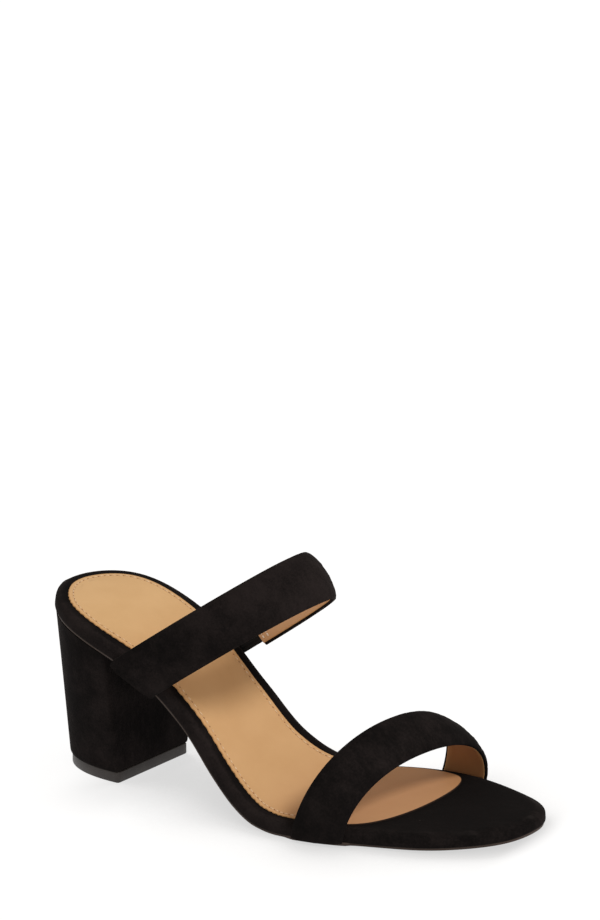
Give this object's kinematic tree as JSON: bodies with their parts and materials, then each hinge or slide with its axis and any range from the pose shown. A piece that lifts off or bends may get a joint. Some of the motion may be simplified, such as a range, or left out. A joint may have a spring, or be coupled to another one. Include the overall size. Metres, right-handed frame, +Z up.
{
  "type": "high heel shoe",
  "caption": "Open-toe suede mule for the right foot: padded toe and instep straps over a leather-lined footbed, standing on a flared block heel.",
  "frame": {"origin": "middle of the shoe's bounding box, on the floor", "axes": "+X from heel to toe, +Y towards the inner side of the right foot, +Z up from the floor"},
  "size_m": [0.2264, 0.0924, 0.1116],
  "materials": {
    "suede": "black suede with a fine short nap",
    "tan_leather": "smooth tan leather with a light satin gloss",
    "sole_board": "dark brown leather board with a polished edge",
    "lift_rubber": "dark grey-brown satin rubber",
    "elastic_web": "black woven elastic"
  },
  "bodies": {
    "root": {"outsole": "sole_board", "footbed": "suede", "sock": "tan_leather", "strap_front": "suede", "strap_instep": "suede", "strap_elastic": "elastic_web", "heel": "suede", "top_lift": "lift_rubber"}
  },
  "joints": []
}
